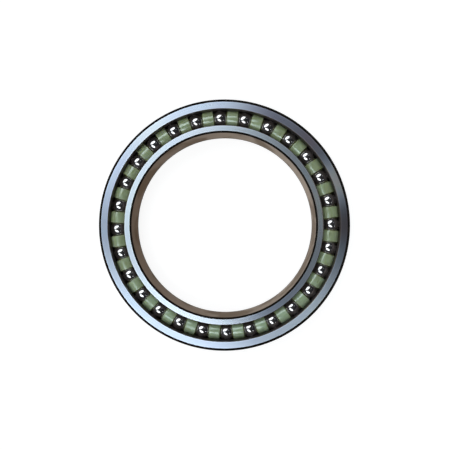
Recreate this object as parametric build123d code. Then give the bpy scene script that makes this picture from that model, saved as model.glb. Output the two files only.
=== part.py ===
from build123d import *
import math
import os

# Angular contact ball bearing of an excavator's travel drive. Two thin rings run on one row of balls,
# and a loose dished spacer between each two balls stands in place of a cage.
# Millimetres and degrees. The bearing's axis is Z, and both rings stand with a flat face on z = 0.

# Boundary sizes
bore_diameter = 220.0
section_height = 40.0  # from the bore to the outside
width = 38.0
bore_corner_radius = 2.1
outside_corner_radius = 3.7

# Balls. The row is loose, and has settled a little way round towards one side. The offsets say how far
# each ball lies along the ball circle from its even place, anticlockwise.
ball_count = 28
ball_diameter = 23.8125
first_ball_angle = 1.5
row_offsets = (
    *(-2.2, -2.7, -2.4, -1.8, -1.1, -0.7, -0.2, 0.3, 0.7, 1.1, 1.4, 1.4, 1.4, 1.5),
    *(1.6, 1.9, 1.5, 0.8, 0.1, -0.1, 0.2, 0.5, 0.1, 0.1, -0.6, -0.4, -0.9, -1.5),
)

# Raceway grooves. The contact line climbs from the inner ring's lower shoulder, through the ball,
# to the outer ring's upper shoulder.
contact_angle = 35.0
groove_relief = 0.6  # how much larger the groove's radius is than the ball's
ball_clearance = 0.03  # from a ball to each groove, along the contact line
high_shoulder_depth = 3.7  # from the groove's deepest line to the shoulder that takes the thrust
low_shoulder_depth = 0.85  # from the groove's deepest line to the lip that the balls snap over
shoulder_edge_break = 0.5
outer_section_turn = 0  # of the section about the ball's centre
inner_section_turn = 180

# Spacers
spacer_clearance = 0.15  # from a spacer to the bottom of the inner ring's groove
seat_clearance = 0.4  # from a ball to the dish that it runs in, where the row is evenly spread
spacer_rim_land = 1.6  # from the dish's edge to the spacer's outside
spacer_edge_break = 0.4
grease_hole_diameter = 6.0

# Worked out from the sizes above
mid_height = width / 2
bore_radius = bore_diameter / 2
outside_radius = bore_radius + section_height
pitch_radius = bore_radius + section_height / 2
ball_radius = ball_diameter / 2
ball_spacing = 360.0 / ball_count
contact = math.radians(contact_angle)
groove_radius = ball_radius + groove_relief
groove_offset = groove_relief - ball_clearance
groove_bottom = groove_radius - groove_offset * math.cos(contact)

half_chord = pitch_radius * math.sin(math.radians(ball_spacing / 2))
chord_sagitta = pitch_radius * (1 - math.cos(math.radians(ball_spacing / 2)))
spacer_radius = groove_bottom - chord_sagitta - spacer_clearance
seat_radius = ball_radius + seat_clearance


def arc(centre, radius, start, end):
    """Arc of a circle from one angle to another, in degrees."""
    return CenterArc(centre, radius, start, end - start)


def on_circle(centre, radius, angle):
    """Point of a circle at an angle in degrees."""
    a = math.radians(angle)
    return (centre[0] + radius * math.cos(a), centre[1] + radius * math.sin(a))


def ring_section(back_radius, corner_radius):
    """Section of either ring, drawn about the ball's centre.

    The first coordinate runs from the ball towards the ring's back, which is the bore of the inner
    ring and the outside of the outer ring. The second runs towards the high shoulder.
    """
    back = abs(back_radius - pitch_radius)
    top = width / 2
    high_land = groove_bottom - high_shoulder_depth
    low_land = groove_bottom - low_shoulder_depth

    groove_centre = (-groove_offset * math.cos(contact), -groove_offset * math.sin(contact))
    high_edge = math.degrees(math.acos((high_land - groove_centre[0]) / groove_radius))
    low_edge = -math.degrees(math.acos((low_land - groove_centre[0]) / groove_radius))

    upper_corner = (back - corner_radius, top - corner_radius)
    lower_corner = (back - corner_radius, -top + corner_radius)
    edges = [
        Line((back, -upper_corner[1]), (back, upper_corner[1])),
        arc(upper_corner, corner_radius, 0, 90),
        Polyline(
            (upper_corner[0], top),
            (high_land + shoulder_edge_break, top),
            (high_land, top - shoulder_edge_break),
            on_circle(groove_centre, groove_radius, high_edge),
        ),
        arc(groove_centre, groove_radius, high_edge, low_edge),
        Polyline(
            on_circle(groove_centre, groove_radius, low_edge),
            (low_land, -top + shoulder_edge_break),
            (low_land + shoulder_edge_break, -top),
            (lower_corner[0], -top),
        ),
        arc(lower_corner, corner_radius, -90, 0),
    ]
    return make_face(edges)


def turned_ring(section, turn):
    """Ring turned about the bearing's axis from its section, which is first turned about the ball's centre."""
    place = Plane.XZ.location * Pos(pitch_radius, mid_height, 0) * Rot(0, 0, turn)
    return revolve(place * section, Axis.Z)


def inner_ring():
    """Ring that sits on the fixed spindle, with its high shoulder at the bottom."""
    return turned_ring(ring_section(bore_radius, bore_corner_radius), inner_section_turn)


def outer_ring():
    """Ring that turns with the sprocket hub, with its high shoulder at the top."""
    return turned_ring(ring_section(outside_radius, outside_corner_radius), outer_section_turn)


def around(angle, radius):
    """Place in the ball row: X points away from the bearing's axis and Y along the row."""
    return Rot(0, 0, angle) * Pos(radius, 0, mid_height)


def ball_angle(number):
    """Angle of a ball, counted from 1, in the settled row."""
    even_angle = first_ball_angle + (number - 1) * ball_spacing
    offset = row_offsets[(number - 1) % ball_count]
    return even_angle + math.degrees(offset / pitch_radius)


def ball(number):
    """Ball in the row."""
    return around(ball_angle(number), pitch_radius) * Sphere(ball_radius)


def spacer_section():
    """Half section of a spacer, with its axis along Y, beside that axis.

    The dish in each end is concentric with the ball that runs in it.
    """
    hole = grease_hole_diameter / 2
    rim = spacer_radius - spacer_rim_land
    hole_angle = math.degrees(math.asin(hole / seat_radius))
    rim_angle = math.degrees(math.asin(rim / seat_radius))
    end = half_chord - seat_radius * math.cos(math.radians(rim_angle))
    hole_end = half_chord - seat_radius * math.cos(math.radians(hole_angle))
    side = end - spacer_edge_break
    edges = [
        Line((hole, -hole_end), (hole, hole_end)),
        arc((0, half_chord), seat_radius, -90 + hole_angle, -90 + rim_angle),
        Polyline(
            (rim, end),
            (spacer_radius - spacer_edge_break, end),
            (spacer_radius, side),
            (spacer_radius, -side),
            (spacer_radius - spacer_edge_break, -end),
            (rim, -end),
        ),
        arc((0, -half_chord), seat_radius, 90 - rim_angle, 90 - hole_angle),
    ]
    return make_face(edges)


def spacer(number, blank):
    """Spacer halfway between the ball of the same number and the next one."""
    before = ball_angle(number)
    after = ball_angle(number + 1)
    centre_radius = pitch_radius * math.cos(math.radians((after - before) / 2))
    return around((before + after) / 2, centre_radius) * blank


def main():
    os.makedirs("parts", exist_ok=True)
    export_step(inner_ring(), "parts/inner_ring.step")
    export_step(outer_ring(), "parts/outer_ring.step")
    blank = revolve(spacer_section(), Axis.Y)
    for number in range(1, ball_count + 1):
        export_step(ball(number), f"parts/ball_{number:02d}.step")
        export_step(spacer(number, blank), f"parts/spacer_{number:02d}.step")


main()
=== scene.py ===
import math

import bmesh
import bpy
from mathutils import Matrix, Vector


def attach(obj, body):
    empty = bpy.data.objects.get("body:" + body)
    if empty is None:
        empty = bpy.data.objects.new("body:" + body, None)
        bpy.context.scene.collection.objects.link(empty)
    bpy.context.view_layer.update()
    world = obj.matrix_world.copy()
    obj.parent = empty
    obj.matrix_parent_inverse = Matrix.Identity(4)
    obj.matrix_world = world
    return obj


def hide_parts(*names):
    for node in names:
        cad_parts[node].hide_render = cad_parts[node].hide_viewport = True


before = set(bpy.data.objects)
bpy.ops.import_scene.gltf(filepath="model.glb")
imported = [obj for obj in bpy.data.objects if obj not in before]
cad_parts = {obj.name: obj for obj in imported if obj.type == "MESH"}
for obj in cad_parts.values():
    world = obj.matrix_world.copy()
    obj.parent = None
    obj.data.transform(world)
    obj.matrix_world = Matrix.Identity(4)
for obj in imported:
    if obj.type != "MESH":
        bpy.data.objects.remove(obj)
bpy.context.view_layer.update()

# The inner ring is one ring of through-hardened bearing steel, pressed on the fixed spindle. It was turned and
# hardened, then ground on its faces and bore and honed in its raceway. The bore's corners were left unground
# and keep their black scale. The bore's brown is a painted reflection, darkened towards the left by painted
# shade, with patches of oil on it.

mm = 0.001
ring_width = 38 * mm
pitch_radius = 130 * mm
bore_radius = 110 * mm
bore_corner = 2.1 * mm
ball_radius = 11.90625 * mm
groove_radius = ball_radius + 0.6 * mm
groove_offset = 0.57 * mm  # from the ball's centre to the groove's, back along the contact line
contact_angle = math.radians(35)
high_shoulder = 3.7 * mm  # from the groove's bottom to the shoulder that takes the thrust
low_shoulder = 0.85 * mm  # from the groove's bottom to the lip that the balls snap over
edge_break = 0.5 * mm
lip_break = 0.75 * mm
groove_edge = 0.12 * mm  # rounding where the groove meets its shoulders
merge_distance = 0.001 * mm

ring_steps = 360
groove_steps = 36
corner_steps = 12
break_steps = 4
groove_edge_steps = 2

# The zones of a ring's surface, in the order of its material slots
FACE, BACK, CORNER, LAND, BREAK, RACEWAY = range(6)
along_axis = 0.9999  # share of a normal that lies along the bearing's axis, above which a zone is a flat face
square_to_axis = 0.001  # and below which it is a straight wall


def new_object(name, data):
    made = bpy.data.objects.new(name, data)
    bpy.context.scene.collection.objects.link(made)
    return made


def finished_mesh(name, bm):
    mesh = bpy.data.meshes.new(name)
    bm.to_mesh(mesh)
    bm.free()
    return mesh


def fill_outline(bm, corners):
    """Close an outline along a row of points, and fill it so that its corners can be rounded."""
    for here, there in zip(corners, corners[1:]):
        bm.edges.new((here, there))
    bmesh.ops.contextual_create(bm, geom=bm.edges[:])


def round_corners(bm, corners, radius, segments):
    """Round corners of a filled outline."""
    bmesh.ops.bevel(
        bm, geom=corners, offset=radius, offset_type="OFFSET", segments=segments,
        profile=0.5, affect="VERTICES", material=-1,
    )


def spin_full_turn(bm, axis, steps):
    """Turn an outline once round an axis through the origin, with its seam closed and its faces outwards."""
    bmesh.ops.spin(
        bm, geom=bm.verts[:] + bm.edges[:], cent=(0, 0, 0), axis=axis,
        angle=math.tau, steps=steps, use_merge=True,
    )
    bmesh.ops.remove_doubles(bm, verts=bm.verts, dist=merge_distance)
    bmesh.ops.recalc_face_normals(bm, faces=bm.faces)


def ring_piece(name, back, corner, upside_down):
    """Ring spun from a section that is drawn about the ball's centre.

    In the section x runs from the ball to the ring's back, and z to its high shoulder.
    """
    top = ring_width / 2
    groove_x = -groove_offset * math.cos(contact_angle)
    groove_z = -groove_offset * math.sin(contact_angle)
    groove_bottom = groove_radius + groove_x
    high_land = groove_bottom - high_shoulder
    low_land = groove_bottom - low_shoulder
    high_angle = math.acos((high_land - groove_x) / groove_radius)
    low_angle = -math.acos((low_land - groove_x) / groove_radius)
    crest_z = groove_z + groove_radius * math.sin(high_angle)
    lip_z = groove_z + groove_radius * math.sin(low_angle)

    bm = bmesh.new()
    lip = bm.verts.new((low_land, 0, lip_z))
    groove = bmesh.ops.spin(
        bm, geom=[lip], cent=(groove_x, 0, groove_z), axis=(0, -1, 0),
        angle=high_angle - low_angle, steps=groove_steps,
    )
    crest = groove["geom_last"][0]
    rim = [
        bm.verts.new((x, 0, z))
        for x, z in ((high_land, top), (back, top), (back, -top), (low_land, -top))
    ]
    fill_outline(bm, [crest, *rim, lip])
    round_corners(bm, rim[1:3], corner, corner_steps)
    round_corners(bm, [rim[0]], edge_break, break_steps)
    round_corners(bm, [rim[3]], lip_break, break_steps)
    round_corners(bm, [crest, lip], groove_edge, groove_edge_steps)
    bmesh.ops.delete(bm, geom=bm.faces[:], context="FACES_ONLY")

    if upside_down:
        half_turn = Matrix.Rotation(math.pi, 3, "Y")
        bmesh.ops.rotate(bm, verts=bm.verts, cent=(0, 0, 0), matrix=half_turn)
    bmesh.ops.translate(bm, verts=bm.verts, vec=(pitch_radius, 0, ring_width / 2))
    spin_full_turn(bm, (0, 0, 1), ring_steps)

    way = -1 if upside_down else 1
    for face in bm.faces:
        centre = face.calc_center_median()
        x = way * (math.hypot(centre.x, centre.y) - pitch_radius)
        z = way * (centre.z - ring_width / 2)
        slope = abs(face.normal.z)
        if slope > along_axis:
            face.material_index = FACE
        elif x > back - corner:
            face.material_index = BACK if slope < square_to_axis else CORNER
        elif lip_z < z < crest_z:
            face.material_index = RACEWAY
        else:
            face.material_index = LAND if slope < square_to_axis else BREAK
        face.smooth = True
    for edge in bm.edges:
        edge.smooth = len({face.material_index for face in edge.link_faces}) == 1
    return new_object(name, finished_mesh(name, bm))


def give(tree, socket, given):
    """Give a socket another node's output, or a plain value."""
    if isinstance(given, bpy.types.NodeSocket):
        tree.links.new(given, socket)
    else:
        socket.default_value = given


def feed(tree, node, sockets):
    """Give each socket of a node, by its name or number, an output or a plain value."""
    for socket, given in sockets.items():
        give(tree, node.inputs[socket], given)


def new_node(tree, kind, sockets=None, **settings):
    """Shader node with its settings, and with what its sockets are given."""
    node = tree.nodes.new(kind)
    for setting, value in settings.items():
        setattr(node, setting, value)
    feed(tree, node, sockets or {})
    return node


def calculated(tree, operation, *given):
    """Result of a Math node."""
    sockets = dict(enumerate(given))
    return new_node(tree, "ShaderNodeMath", sockets, operation=operation).outputs[0]


def vector_outputs(tree, operation, *given):
    """Outputs of a Vector Math node, of which "Vector" or "Value" holds the result."""
    sockets = dict(enumerate(given))
    return new_node(tree, "ShaderNodeVectorMath", sockets, operation=operation).outputs


def flattened(tree, position):
    """Position without its height. Its length is the distance from the bearing's axis."""
    return vector_outputs(tree, "MULTIPLY", position, (1, 1, 0))["Vector"]


def faded(tree, value, start, end, low=0.0, high=1.0, soft=True):
    """Value that goes from low to high, softly or evenly, while the given one goes from start to end."""
    sockets = {"Value": value, "From Min": start, "From Max": end, "To Min": low, "To Max": high}
    kind = "SMOOTHSTEP" if soft else "LINEAR"
    return new_node(tree, "ShaderNodeMapRange", sockets, interpolation_type=kind).outputs["Result"]


def ranged(tree, noise, low, high):
    """Noise, most of which lies between 0.3 and 0.7, spread from low to high."""
    return faded(tree, noise, 0.3, 0.7, low, high, soft=False)


def mixed_colour(tree, factor, first, second, blend="MIX"):
    """Colour mix. Each of the three may be a socket or a plain value."""
    mix = new_node(tree, "ShaderNodeMix", data_type="RGBA", blend_type=blend)
    sockets = {socket.identifier: socket for socket in (*mix.inputs, *mix.outputs)}
    for name, given in (("Factor_Float", factor), ("A_Color", first), ("B_Color", second)):
        give(tree, sockets[name], (*given, 1) if isinstance(given, tuple) else given)
    return sockets["Result_Color"]


def towards(degrees):
    """Direction in the plane of the rings, anticlockwise from the right."""
    angle = math.radians(degrees)
    return Vector((math.cos(angle), math.sin(angle), 0))


def reach_towards(tree, position, degrees):
    """How far a point lies from the bearing's axis towards one side. On the other side it is negative."""
    return vector_outputs(tree, "DOT_PRODUCT", position, towards(degrees))["Value"]


def new_group(name, inputs, outputs):
    """Shader node group, with the socket type and default of each input, and the type of each output."""
    group = bpy.data.node_groups.new(name, "ShaderNodeTree")
    for socket, (kind, default) in inputs.items():
        made = group.interface.new_socket(socket, in_out="INPUT", socket_type=kind)
        if default is not None:
            made.default_value = default
    for socket, kind in outputs.items():
        group.interface.new_socket(socket, in_out="OUTPUT", socket_type=kind)
    given = new_node(group, "NodeGroupInput").outputs
    return group, given, new_node(group, "NodeGroupOutput")


def lathe_lines_group():
    """Fine lines that run round the bearing's axis, as turning, grinding and honing leave them."""
    group, given, made = new_group(
        "lathe_lines",
        {
            "Position": ("NodeSocketVector", None),
            "Lines per metre": ("NodeSocketFloat", 3000.0),
            "Breaks": ("NodeSocketFloat", 3.0),
        },
        {"Lines": "NodeSocketFloat"},
    )
    height = new_node(group, "ShaderNodeSeparateXYZ", {0: given["Position"]}).outputs["Z"]
    flat = flattened(group, given["Position"])
    radius = vector_outputs(group, "LENGTH", flat)["Value"]
    outward = vector_outputs(group, "NORMALIZE", flat)["Vector"]
    spread = new_node(
        group, "ShaderNodeVectorMath", {0: outward, "Scale": given["Breaks"]}, operation="SCALE"
    )
    across = calculated(group, "MULTIPLY", radius, given["Lines per metre"])
    along = calculated(group, "MULTIPLY", height, given["Lines per metre"])
    lift = new_node(group, "ShaderNodeCombineXYZ", {"Z": across})
    place = vector_outputs(group, "ADD", spread.outputs["Vector"], lift.outputs[0])["Vector"]
    noise = new_node(
        group,
        "ShaderNodeTexNoise",
        {"Vector": place, "W": along, "Scale": 1.0, "Detail": 3.0, "Roughness": 0.6},
        noise_dimensions="4D",
    )
    feed(group, made, {"Lines": noise.outputs["Fac"]})
    return group


def oil_film_group():
    """Thin oil in soft patches: where it lies, and the faint colour that it gives to bare metal."""
    group, given, made = new_group(
        "oil_film",
        {"Position": ("NodeSocketVector", None), "Patches per metre": ("NodeSocketFloat", 40.0)},
        {"Film": "NodeSocketFloat", "Tint": "NodeSocketColor"},
    )
    patches = new_node(
        group,
        "ShaderNodeTexNoise",
        {
            "Vector": given["Position"],
            "Scale": given["Patches per metre"],
            "Detail": 4.0,
            "Roughness": 0.55,
            "Distortion": 0.4,
        },
    ).outputs["Fac"]
    tint = new_node(group, "ShaderNodeValToRGB", {"Fac": patches})
    blue_end, green_end = tint.color_ramp.elements
    blue_end.position, blue_end.color = 0.34, (0.92, 0.93, 1.0, 1)
    green_end.position, green_end.color = 0.64, (0.92, 1.0, 1.0, 1)
    tint.color_ramp.elements.new(0.50).color = (1.0, 0.99, 0.98, 1)
    feed(group, made, {"Film": faded(group, patches, 0.38, 0.68), "Tint": tint.outputs["Color"]})
    return group


def painted_edge_highlight_group():
    """Narrow bands beside both edges of a ring's face, where a highlight is painted brighter."""
    group, given, made = new_group(
        "painted_edge_highlight",
        {
            "Position": ("NodeSocketVector", None),
            "Inner edge": ("NodeSocketFloat", 0.1),
            "Outer edge": ("NodeSocketFloat", 0.2),
            "Band": ("NodeSocketFloat", 0.001),
        },
        {"Highlight": "NodeSocketFloat"},
    )
    radius = vector_outputs(group, "LENGTH", flattened(group, given["Position"]))["Value"]
    from_inner = calculated(group, "SUBTRACT", radius, given["Inner edge"])
    from_outer = calculated(group, "SUBTRACT", given["Outer edge"], radius)
    nearer = calculated(group, "MINIMUM", from_inner, from_outer)
    feed(group, made, {"Highlight": faded(group, nearer, 0.0, given["Band"], 1.0, 0.0)})
    return group


def light_and_shade_spot_group():
    """Place with a soft edge, where a tone of painted light and shade lies on a face."""
    group, given, made = new_group(
        "painted_light_and_shade_spot",
        {
            "Position": ("NodeSocketVector", None),
            "Centre": ("NodeSocketVector", None),
            "Reach": ("NodeSocketFloat", 0.03),
        },
        {"Spot": "NodeSocketFloat"},
    )
    distance = vector_outputs(group, "DISTANCE", given["Position"], given["Centre"])["Value"]
    feed(group, made, {"Spot": faded(group, distance, 0.0, given["Reach"], 1.0, 0.0)})
    return group


lathe_lines = lathe_lines_group()
oil_film = oil_film_group()
painted_edge_highlight = painted_edge_highlight_group()
painted_light_and_shade_spot = light_and_shade_spot_group()


def placed_group(tree, group, position, **values):
    """Outputs of a group in a material. In the names of its values _ stands for a space."""
    sockets = {socket.replace("_", " "): value for socket, value in values.items()}
    sockets["Position"] = position
    return new_node(tree, "ShaderNodeGroup", sockets, node_tree=group).outputs


def new_material(name):
    """Material with its node tree, its shader, and where each point of the surface lies on its body."""
    material = bpy.data.materials.new(name)
    material.use_nodes = True
    tree = material.node_tree
    position = new_node(tree, "ShaderNodeTexCoord").outputs["Object"]
    return material, tree, tree.nodes["Principled BSDF"], position


def relief(tree, height, depth):
    """Normal of a surface that rises by that depth where the height goes from 0 to 1."""
    sockets = {"Strength": 1.0, "Distance": depth, "Height": height}
    return new_node(tree, "ShaderNodeBump", sockets).outputs[0]


# Painted highlight: the width and brightness of the bands painted brighter beside a face's edges
painted_highlight_band = 1.3 * mm
painted_highlight_brightness = 1.18
oil_tint = 0.5  # how much of the oil's colour shows on bare steel
quarter_turn = 0.25  # which lays the long way of the gloss across the lines


def steel(name, light, dark, roughness, lines_per_metre, depth, anisotropy, edges=None, painted_light_and_shade_spots=()):
    """Machined steel: two tones that its lines run through, patches of oil, and a painted highlight along its
    edges.

    A face has the radii of its two edges, and spots of painted light and shade. Each spot has an angle in
    degrees, a reach, a tone that paints shade where it darkens the rest and light where it lightens it, and
    how much rougher it is.
    """
    material, tree, shader, position = new_material(name)
    fine = placed_group(
        tree, lathe_lines, position, Lines_per_metre=lines_per_metre, Breaks=3.0
    )["Lines"]
    broad = placed_group(
        tree, lathe_lines, position, Lines_per_metre=lines_per_metre / 6, Breaks=1.6
    )["Lines"]
    oil = placed_group(tree, oil_film, position, Patches_per_metre=35.0)
    streak = calculated(tree, "MULTIPLY", calculated(tree, "ADD", fine, broad), 0.5)
    colour = mixed_colour(tree, ranged(tree, streak, 0.0, 1.0), dark, light)
    colour = mixed_colour(tree, oil_tint, colour, oil["Tint"], "MULTIPLY")
    # Painted highlight: bands beside the face's edges are painted brighter.
    if edges:
        inner, outer = edges
        edge_highlight_mask = placed_group(
            tree, painted_edge_highlight, position, Inner_edge=inner, Outer_edge=outer, Band=painted_highlight_band
        )["Highlight"]
        painted_highlight_colour = tuple(min(1.0, painted_highlight_brightness * c) for c in light)
        colour = mixed_colour(tree, edge_highlight_mask, colour, painted_highlight_colour)
    surface = ranged(tree, streak, roughness[1], roughness[0])
    # Each spot's tone is painted light or painted shade on the face.
    for angle, reach, tone, roughening in painted_light_and_shade_spots:
        centre = towards(angle) * (inner + outer) / 2 + Vector((0, 0, ring_width))
        spot = placed_group(tree, painted_light_and_shade_spot, position, Centre=centre, Reach=reach)["Spot"]
        colour = mixed_colour(tree, spot, colour, tone, "MULTIPLY")
        surface = calculated(tree, "MULTIPLY_ADD", spot, roughening, surface)
    feed(tree, shader, {
        "Base Color": colour,
        "Roughness": surface,
        "Metallic": 1.0,
        "Anisotropic": anisotropy,
        "Normal": relief(tree, fine, depth),
    })
    if anisotropy:
        round_axis = new_node(tree, "ShaderNodeTangent", direction_type="RADIAL", axis="Z")
        feed(tree, shader, {"Anisotropic Rotation": quarter_turn, "Tangent": round_axis.outputs[0]})
    return material


def black_scale():
    """Corners that were never ground: black, dull and faintly mottled by the hardening furnace."""
    material, tree, shader, position = new_material("black_scale")
    lines = placed_group(tree, lathe_lines, position, Lines_per_metre=2500.0, Breaks=8.0)["Lines"]
    mottle = placed_group(tree, oil_film, position, Patches_per_metre=180.0)["Film"]
    blackest, palest = (0.010, 0.009, 0.009), (0.022, 0.018, 0.015)
    feed(tree, shader, {
        "Base Color": mixed_colour(tree, mottle, blackest, palest),
        "Roughness": ranged(tree, lines, 0.62, 0.5),
        "Specular IOR Level": 0.0,
        "Normal": relief(tree, lines, 0.01 * mm),
    })
    return material


def bore_oil_and_painted_reflection():
    """Ground bore in a painted brown reflection that darkens with painted shade towards the left, with patches
    of oil.
    """
    material, tree, shader, position = new_material("bore_oil_and_painted_reflection")
    lines = placed_group(tree, lathe_lines, position, Lines_per_metre=2500.0, Breaks=3.0)["Lines"]
    film = placed_group(tree, oil_film, position, Patches_per_metre=28.0)["Film"]
    # Painted reflection and shade: the browns and the brown specular tint stand in for a brown floor reflected
    # in the bore, darker towards the left.
    painted_shade_left_to_right = faded(tree, reach_towards(tree, position, 0), -bore_radius, bore_radius, soft=False)
    painted_reflection_shaded, painted_reflection_lit = (0.185, 0.155, 0.135), (0.50, 0.455, 0.41)
    patch, ground_line = (0.075, 0.058, 0.045), (0.34, 0.30, 0.27)
    colour = mixed_colour(tree, painted_shade_left_to_right, painted_reflection_shaded, painted_reflection_lit)
    colour = mixed_colour(tree, ranged(tree, film, 0.0, 0.5), colour, patch)
    colour = mixed_colour(tree, ranged(tree, lines, 0.0, 0.2), colour, ground_line)
    feed(tree, shader, {
        "Base Color": colour,
        "Roughness": ranged(tree, lines, 0.50, 0.40),
        "Metallic": 1.0,
        "Specular Tint": (0.35, 0.29, 0.24, 1),
        "Normal": relief(tree, lines, 0.002 * mm),
    })
    return material


inner_face_inside = bore_radius + bore_corner
inner_face_outside = 118.06 * mm
scale = black_scale()
honed_raceway = steel(
    "honed_raceway",
    light=(0.50, 0.41, 0.375),
    dark=(0.38, 0.31, 0.285),
    roughness=(0.52, 0.62),
    lines_per_metre=6000.0,
    depth=0.0005 * mm,
    anisotropy=0.0,
)
# The lands and breaks are set dark, a painted shade in the channel between the rings.
turned_land = steel(
    "turned_land",
    light=(0.17, 0.148, 0.14),
    dark=(0.105, 0.09, 0.084),
    roughness=(0.42, 0.54),
    lines_per_metre=1800.0,
    depth=0.004 * mm,
    anisotropy=0.0,
)
dark_break_painted_shade = steel(
    "dark_break_painted_shade",
    light=(0.155, 0.128, 0.118),
    dark=(0.09, 0.074, 0.068),
    roughness=(0.42, 0.54),
    lines_per_metre=1800.0,
    depth=0.004 * mm,
    anisotropy=0.0,
)
# The faces' blue-grey carries the cool tint of the lamps, a painted tint of light on the steel.
inner_face = steel(
    "inner_face",
    light=(0.62, 0.70, 0.79),
    dark=(0.55, 0.62, 0.70),
    roughness=(0.265, 0.29),
    lines_per_metre=2600.0,
    depth=0.0003 * mm,
    anisotropy=0.1,
    edges=(inner_face_inside, inner_face_outside),
    # Spots of painted light and shade on the face
    painted_light_and_shade_spots=(
        (12, 74 * mm, (1.55, 1.53, 1.5), 0.0),
        (172, 95 * mm, (1.22, 1.26, 1.24), 0.04),
        (301, 78 * mm, (0.54, 0.56, 0.62), 0.0),
    ),
)
inner_ring = ring_piece("inner_ring_finished", pitch_radius - bore_radius, bore_corner, True)
for finish in (inner_face, bore_oil_and_painted_reflection(), scale, turned_land, dark_break_painted_shade, honed_raceway):
    inner_ring.data.materials.append(finish)
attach(inner_ring, "inner_ring")
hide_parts("inner_ring")

# The outer ring is of the same steel, ground in the same way and pressed into the sprocket hub. Its high
# shoulder is at the top, so from above it covers the outer side of the balls. Its outside corners are
# unground and black too.

outside_radius = 150 * mm
outside_corner = 3.7 * mm
outer_face_inside = 138.84 * mm
outer_face_outside = outside_radius - outside_corner
# The outer face's tones are darker than the inner face's of the same steel: painted shade, with the painted
# cool tint.
outer_face = steel(
    "outer_face",
    light=(0.432, 0.50, 0.60),
    dark=(0.378, 0.44, 0.535),
    roughness=(0.265, 0.305),
    lines_per_metre=2600.0,
    depth=0.0003 * mm,
    anisotropy=0.25,
    edges=(outer_face_inside, outer_face_outside),
    # Spots of painted light and shade on the face
    painted_light_and_shade_spots=(
        (0, 34 * mm, (0.74, 0.60, 0.55), 0.0),
        (21, 40 * mm, (2.5, 2.35, 2.2), 0.02),
        (45, 32 * mm, (0.95, 0.74, 0.74), 0.0),
        (65, 62 * mm, (0.66, 0.60, 0.64), 0.0),
        (126, 55 * mm, (1.18, 1.14, 1.04), 0.0),
        (168, 90 * mm, (1.16, 1.17, 1.22), 0.0),
        (319, 93 * mm, (1.8, 1.8, 1.7), 0.075),
    ),
)
ground_outside = steel(
    "ground_outside",
    light=(0.37, 0.385, 0.405),
    dark=(0.265, 0.275, 0.29),
    roughness=(0.20, 0.32),
    lines_per_metre=2600.0,
    depth=0.0012 * mm,
    anisotropy=0.3,
)
outer_ring = ring_piece("outer_ring_finished", outside_radius - pitch_radius, outside_corner, False)
for finish in (outer_face, ground_outside, scale, turned_land, dark_break_painted_shade, honed_raceway):
    outer_ring.data.materials.append(finish)
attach(outer_ring, "outer_ring")
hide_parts("outer_ring")

# The balls are of hardened steel, lapped and polished. They run loose in the grooves, each between two
# spacers, and are wet with a trace of oil that dulls them in soft patches.


def polished_ball():
    """Polished steel, a little darker and duller under its patches of oil."""
    material, tree, shader, position = new_material("polished_ball")
    film = placed_group(tree, oil_film, position, Patches_per_metre=110.0)["Film"]
    bare, oiled = (0.50, 0.50, 0.51), (0.45, 0.44, 0.435)
    feed(tree, shader, {
        "Base Color": mixed_colour(tree, film, bare, oiled),
        "Roughness": ranged(tree, film, 0.05, 0.09),
        "Metallic": 1.0,
    })
    return material


ball_count = 28
ball_finish = polished_ball()
for number in range(1, ball_count + 1):
    for material_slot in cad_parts[f"ball_{number:02d}"].material_slots:
        material_slot.material = ball_finish

# The spacers are short rollers of green nylon, moulded with a dish in each end for the ball beside it, a hole
# through for grease and a fine parting line round the middle. Nothing holds them but the balls. Their outer
# sides at the back left of the row are painted paler, a painted light where the outer ring's shoulder shades
# them, and their oil shines most at the back left and across from there.

ball_spacing = math.tau / ball_count
first_ball = math.radians(1.5)
row_offsets = (  # how far each ball of the settled row lies from its even place, in millimetres
    *(-2.2, -2.7, -2.4, -1.8, -1.1, -0.7, -0.2, 0.3, 0.7, 1.1, 1.4, 1.4, 1.4, 1.5),
    *(1.6, 1.9, 1.5, 0.8, 0.1, -0.1, 0.2, 0.5, 0.1, 0.1, -0.6, -0.4, -0.9, -1.5),
)
half_chord = pitch_radius * math.sin(ball_spacing / 2)
spacer_radius = 11.07 * mm
seat_radius = ball_radius + 0.4 * mm
rim_land = 1.6 * mm
hole_radius = 3.0 * mm
draft = 0.05 * mm
parting_line = 0.05 * mm
parting_crest = 0.12 * mm  # half of the parting line's width at its crest
parting_foot = 0.25 * mm  # and at its foot
side_rounding = 0.55 * mm
dish_rounding = 0.3 * mm
mouth_rounding = 0.4 * mm

spacer_steps = 72
dish_steps = 14
side_rounding_steps = 5
end_rounding_steps = 3
smooth_up_to = math.radians(20)
roll_step = 2.4  # radians that each spacer lies rolled on from the last


def ball_angle(number):
    """Angle of a ball, counted from 1, in the settled row."""
    even = first_ball + (number - 1) * ball_spacing
    return even + row_offsets[(number - 1) % ball_count] * mm / pitch_radius


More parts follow.
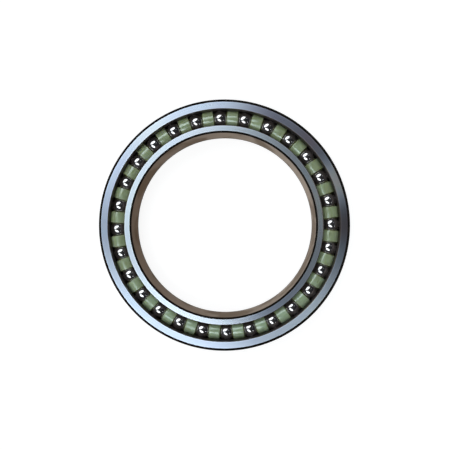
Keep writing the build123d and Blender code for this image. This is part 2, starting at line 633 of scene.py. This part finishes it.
def spacer_mesh():
    """Spacer about its own axis, Y. Half of its section is drawn, mirrored and spun."""
    rim = spacer_radius - rim_land
    hole_angle = math.asin(hole_radius / seat_radius)
    rim_angle = math.asin(rim / seat_radius)
    end = half_chord - seat_radius * math.cos(rim_angle)
    hole_end = half_chord - seat_radius * math.cos(hole_angle)
    bm = bmesh.new()
    mouth = bm.verts.new((hole_radius, hole_end, 0))
    dish = bmesh.ops.spin(
        bm, geom=[mouth], cent=(0, half_chord, 0), axis=(0, 0, 1),
        angle=rim_angle - hole_angle, steps=dish_steps,
    )
    dish_edge = dish["geom_last"][0]
    side = [
        bm.verts.new((x, y, 0))
        for x, y in (
            (spacer_radius - draft, end),
            (spacer_radius, parting_foot),
            (spacer_radius + parting_line, parting_crest),
            (spacer_radius + parting_line, 0),
        )
    ]
    middle_of_hole = bm.verts.new((hole_radius, 0, 0))
    fill_outline(bm, [dish_edge, *side, middle_of_hole, mouth])
    round_corners(bm, side[:1], side_rounding, side_rounding_steps)
    round_corners(bm, [dish_edge], dish_rounding, end_rounding_steps)
    round_corners(bm, [mouth], mouth_rounding, end_rounding_steps)
    bmesh.ops.delete(bm, geom=bm.faces[:], context="FACES_ONLY")
    middle = [e for e in bm.edges if all(abs(v.co.y) < merge_distance for v in e.verts)]
    bmesh.ops.delete(bm, geom=middle, context="EDGES")
    bmesh.ops.mirror(bm, geom=bm.verts[:] + bm.edges[:], axis="Y", merge_dist=merge_distance)
    spin_full_turn(bm, (0, 1, 0), spacer_steps)

    along = bm.verts.layers.float.new("along")
    for vert in bm.verts:
        vert[along] = abs(vert.co.y) / end
    for face in bm.faces:
        face.smooth = True
    for edge in bm.edges:
        edge.smooth = edge.calc_face_angle(0) < smooth_up_to
    return finished_mesh("moulded_spacer", bm)


def green_nylon():
    """Nylon wet with oil, with painted shade at its ends beside the balls, painted light on the outer sides at
    the back left, and a bluish painted reflection on the lower side of the row.
    """
    material, tree, shader, position = new_material("green_nylon")
    film = placed_group(tree, oil_film, position, Patches_per_metre=90.0)["Film"]
    bare, oiled = (0.370, 0.455, 0.270), (0.335, 0.395, 0.225)
    painted_light_green, painted_reflection_tint, painted_shade_end = (0.68, 0.81, 0.50), (1.08, 1.14, 1.25), (0.270, 0.260, 0.155)

    # Painted light: the outer sides at the back left are painted paler where the outer ring's shoulder shades
    # them.
    painted_light_side = faded(tree, reach_towards(tree, position, 140), -5 * mm, 100 * mm)
    from_axis = vector_outputs(tree, "LENGTH", flattened(tree, position))["Value"]
    painted_light_from, painted_light_to = pitch_radius + 2.0 * mm, pitch_radius + 6.5 * mm
    outward = faded(tree, from_axis, painted_light_from, painted_light_to, soft=False)
    # Painted reflection: a bluish tint on the lower side of the row stands in for the cool gloss there.
    painted_cool_reflection = faded(tree, reach_towards(tree, position, 275), 20 * mm, 120 * mm)
    along = new_node(tree, "ShaderNodeAttribute", attribute_name="along").outputs["Fac"]
    colour = mixed_colour(tree, film, bare, oiled)
    colour = mixed_colour(tree, calculated(tree, "MULTIPLY", painted_light_side, outward), colour, painted_light_green)
    colour = mixed_colour(tree, painted_cool_reflection, colour, painted_reflection_tint, "MULTIPLY")
    # Painted shade: the ends beside the balls are darkened.
    colour = mixed_colour(tree, faded(tree, along, 0.78, 1.05, 0.0, 0.7), colour, painted_shade_end)

    to_wet_sides = calculated(tree, "ABSOLUTE", reach_towards(tree, position, 124))
    wetness = faded(tree, to_wet_sides, 60 * mm, 120 * mm, 0.35, 1.0)
    grain = new_node(
        tree, "ShaderNodeTexNoise", {"Vector": position, "Scale": 2500.0, "Detail": 2.0}
    ).outputs["Fac"]
    feed(tree, shader, {
        "Base Color": colour,
        "Roughness": ranged(tree, film, 0.25, 0.20),
        "IOR": 1.53,
        "Specular IOR Level": 0.9,
        "Specular Tint": (0.80, 1.0, 1.0, 1),
        "Coat Weight": wetness,
        "Coat Roughness": 0.08,
        "Coat IOR": 1.5,
        "Subsurface Weight": 0.8,
        "Subsurface Radius": (1.0, 1.0, 0.7),
        "Subsurface Scale": 5.0 * mm,
        "Normal": relief(tree, grain, 0.002 * mm),
    })
    return material


nylon = green_nylon()
spacer_blank = spacer_mesh()
for number in range(1, ball_count + 1):
    before, after = ball_angle(number), ball_angle(number + 1)
    middle_angle = (before + after) / 2
    middle_radius = pitch_radius * math.cos((after - before) / 2)
    rolled = Matrix.Rotation(number * roll_step, 4, "Y")
    moved_out = Matrix.Translation((middle_radius, 0, ring_width / 2))
    mesh = spacer_blank.copy()
    mesh.transform(Matrix.Rotation(middle_angle, 4, "Z") @ moved_out @ rolled)
    mesh.materials.append(nylon)
    spacer = new_object(f"moulded_spacer_{number:02d}", mesh)
    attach(spacer, "spacer_train")
    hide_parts(f"spacer_{number:02d}")
bpy.data.meshes.remove(spacer_blank)

# The floor is a plain white table that the bearing lies on. It shows white to the camera and in the metal,
# and it keeps the bearing's soft shadow.

floor_radius = 6.0
floor_steps = 96
floor_drop = 0.05 * mm
floor_paint = (0.26, 0.26, 0.26, 1)
near_distance, near_glow = 0.4, 0.88
far_distance, far_glow = 2.5, 1.0


def seen_directly(tree):
    """1 for what the camera sees, straight or by way of metal or glass, and 0 for light on dull surfaces."""
    path = new_node(tree, "ShaderNodeLightPath").outputs
    straight_or_metal = calculated(tree, "MAXIMUM", path["Is Camera Ray"], path["Is Glossy Ray"])
    return calculated(tree, "MAXIMUM", straight_or_metal, path["Is Transmission Ray"])


def table_white():
    """White paint that glows a little less near the bearing, and not at all where the rings cover it."""
    material = bpy.data.materials.new("table_white")
    material.use_nodes = True
    tree = material.node_tree
    tree.nodes.clear()
    position = new_node(tree, "ShaderNodeTexCoord").outputs["Object"]
    distance = vector_outputs(tree, "LENGTH", position)["Value"]
    near_to_far = faded(tree, distance, near_distance, far_distance, near_glow, far_glow)
    under_bore = calculated(tree, "LESS_THAN", distance, bore_radius)
    beyond_ring = calculated(tree, "GREATER_THAN", distance, outside_radius)
    uncovered = calculated(tree, "ADD", under_bore, beyond_ring)
    open_floor = calculated(tree, "MULTIPLY", near_to_far, uncovered)
    strength = calculated(tree, "MULTIPLY", open_floor, seen_directly(tree))
    paint = new_node(tree, "ShaderNodeBsdfDiffuse", {"Color": floor_paint})
    glow = new_node(tree, "ShaderNodeEmission", {"Strength": strength})
    both = new_node(tree, "ShaderNodeAddShader", {0: paint.outputs[0], 1: glow.outputs[0]})
    new_node(tree, "ShaderNodeOutputMaterial", {"Surface": both.outputs[0]})
    return material


bm = bmesh.new()
bmesh.ops.create_circle(bm, cap_ends=True, segments=floor_steps, radius=floor_radius)
bmesh.ops.translate(bm, verts=bm.verts, vec=(0, 0, -floor_drop))
floor = new_object("floor", finished_mesh("floor", bm))
floor.data.materials.append(table_white())

# Two long oval panels of soft light hang over the left of the table, the larger one behind it and the other
# in front, and two small lamps over its right. The ceiling is dim, and a low white wall stands all round.

lamp_distance = 6.0
lamp_colour = (0.92, 0.97, 1.0)
wall_top = math.sin(math.radians(22))
ceiling_edge = math.sin(math.radians(30))
ceiling_reach = 0.7  # to the left and to the right, over which the ceiling darkens
wall_white = (1.0, 1.0, 1.0)
ceiling_left, ceiling_right = (0.085, 0.085, 0.089), (0.030, 0.030, 0.033)
dull_fill = (0.16, 0.165, 0.175, 1)  # light from all round on what isn't metal


def direction(x, y):
    """Direction that leans x degrees to the right and y degrees to the back from straight up."""
    lean = math.radians(math.hypot(x, y))
    way = math.atan2(y, x)
    return Vector((math.sin(lean) * math.cos(way), math.sin(lean) * math.sin(way), math.cos(lean)))


def panel(name, middle, length, breadth, slope, radiance):
    """Oval area lamp in a direction, with its sizes and slope in degrees as seen from the bearing."""
    back = direction(*middle)
    reach = math.radians(slope)
    step = Vector((math.cos(reach), math.sin(reach)))
    along = direction(*(Vector(middle) + step)) - direction(*(Vector(middle) - step))
    along = (along - along.dot(back) * back).normalized()
    across = back.cross(along)
    lamp = bpy.data.lights.new(name, "AREA")
    lamp.shape = "ELLIPSE"
    lamp.size = 2 * lamp_distance * math.tan(math.radians(length / 2))
    lamp.size_y = 2 * lamp_distance * math.tan(math.radians(breadth / 2))
    lamp.energy = radiance * math.pi * (math.pi / 4 * lamp.size * lamp.size_y)
    lamp.color = lamp_colour
    holder = new_object(name, lamp)
    turn = Matrix((along, across, back)).transposed().to_4x4()
    holder.matrix_world = Matrix.Translation(back * lamp_distance) @ turn
    holder.visible_camera = False


panel("back_panel", (-18.0, 24.2), length=57, breadth=29, slope=32, radiance=2.8)
panel("front_panel", (-12.0, -21.6), length=46, breadth=20, slope=-32, radiance=3.5)
panel("small_lamp_in_front", (36, -23), length=6, breadth=4, slope=0, radiance=4.0)
panel("small_lamp_behind", (25, 20), length=6, breadth=4, slope=0, radiance=1.6)

room = bpy.data.worlds.new("room")
bpy.context.scene.world = room
room.use_nodes = True
tree = room.node_tree
tree.nodes.clear()
heading = new_node(tree, "ShaderNodeTexCoord").outputs["Generated"]
split = new_node(tree, "ShaderNodeSeparateXYZ", {0: heading}).outputs
left_to_right = faded(tree, split["X"], -ceiling_reach, ceiling_reach, soft=False)
ceiling = mixed_colour(tree, left_to_right, ceiling_left, ceiling_right)
wall_to_ceiling = faded(tree, split["Z"], wall_top, ceiling_edge)
room_colour = mixed_colour(tree, wall_to_ceiling, wall_white, ceiling)
seen = new_node(tree, "ShaderNodeBackground", {"Color": room_colour})
fill = new_node(tree, "ShaderNodeBackground", {"Color": dull_fill})
choice = new_node(
    tree, "ShaderNodeMixShader", {0: seen_directly(tree), 1: fill.outputs[0], 2: seen.outputs[0]}
)
new_node(tree, "ShaderNodeOutputWorld", {"Surface": choice.outputs[0]})
bpy.context.scene.view_settings.view_transform = "Standard"

# The camera looks down on the bearing from a little over half a metre, under three degrees off the axis. That
# is near enough to show the wall of the bore all round, and a little more of it on the left.

image_side = 450
focal_length_px = 458.6
shift_px = (0.72, 0.1)
camera_height = 582 * mm
camera_tilt = math.radians(2.6)
camera_data = bpy.data.cameras.new("camera")
camera_data.sensor_width = 36.0
camera_data.lens = focal_length_px / image_side * camera_data.sensor_width
camera_data.shift_x, camera_data.shift_y = (shift / image_side for shift in shift_px)
camera = new_object("camera", camera_data)
camera.location = (camera_height * math.sin(camera_tilt), 0, camera_height * math.cos(camera_tilt))
camera.rotation_euler = (0, camera_tilt, 0)
bpy.context.scene.camera = camera

bpy.context.view_layer.update()
